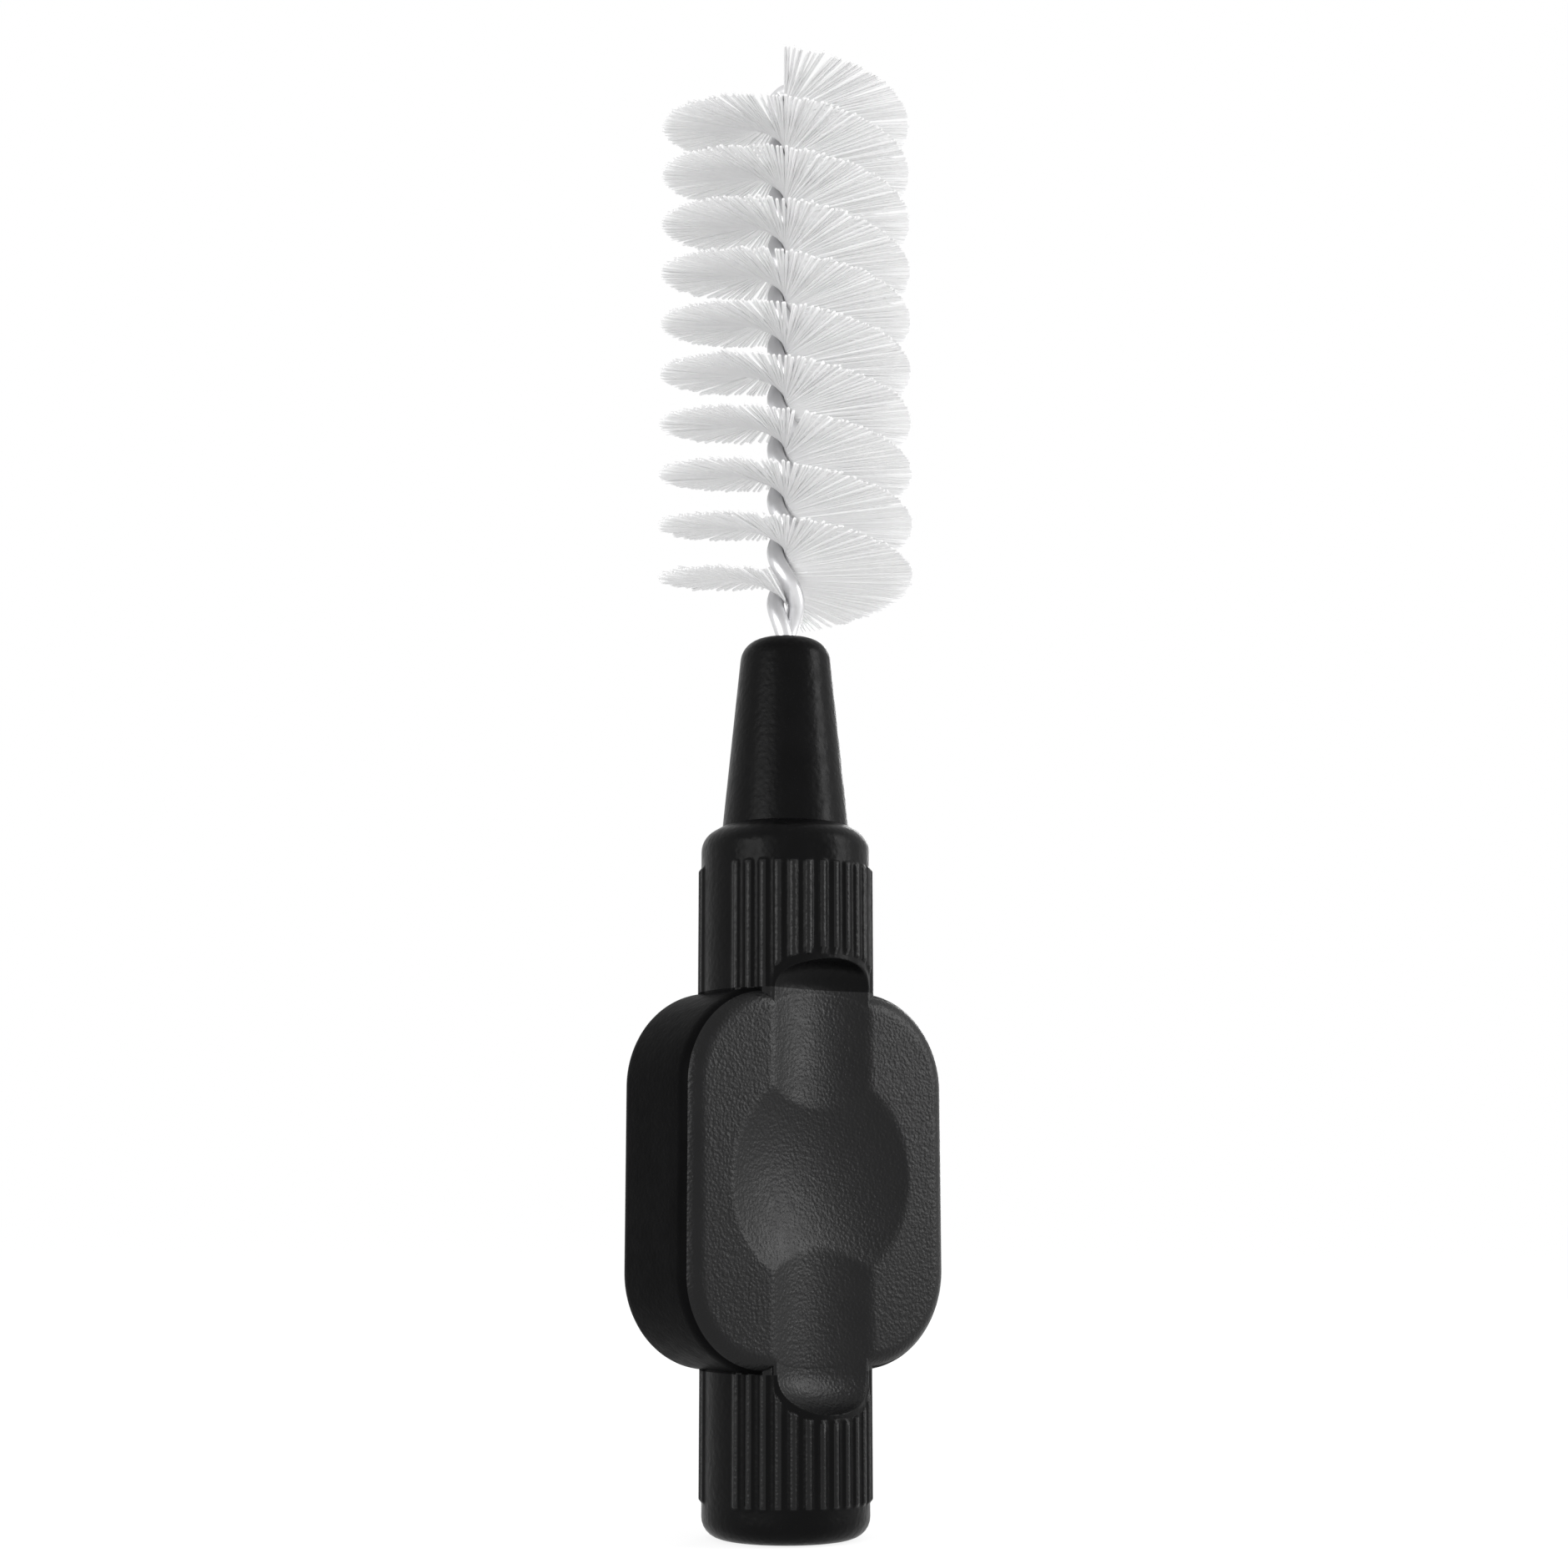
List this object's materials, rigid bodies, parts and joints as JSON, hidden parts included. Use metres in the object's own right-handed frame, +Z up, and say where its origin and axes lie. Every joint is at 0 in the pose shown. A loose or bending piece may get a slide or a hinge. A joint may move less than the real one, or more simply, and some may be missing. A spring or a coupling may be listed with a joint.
{
  "type": "interdental brush",
  "caption": "Small brush for cleaning between teeth: filaments held in a twisted wire above a ribbed handle with a dished thumb paddle.",
  "frame": {"origin": "centre of the tail's flat end", "axes": "+Z up the brush's axis towards its tip, +X across the paddle's width, -Y out of the paddle's front face"},
  "size_m": [0.0098, 0.0084, 0.0468],
  "materials": {
    "handle_plastic": "fine moulded grain on the paddle, smoother on the nose",
    "wire_steel": "drawn stainless wire, even grey",
    "filament_nylon": "milky white nylon thread"
  },
  "bodies": {
    "root": {"handle": "handle_plastic", "core_wire": "wire_steel", "filament_tier_01": "filament_nylon", "filament_tier_02": "filament_nylon", "filament_tier_03": "filament_nylon", "filament_tier_04": "filament_nylon", "filament_tier_05": "filament_nylon", "filament_tier_06": "filament_nylon", "filament_tier_07": "filament_nylon", "filament_tier_08": "filament_nylon", "filament_tier_09": "filament_nylon", "filament_tier_10": "filament_nylon"}
  },
  "joints": []
}
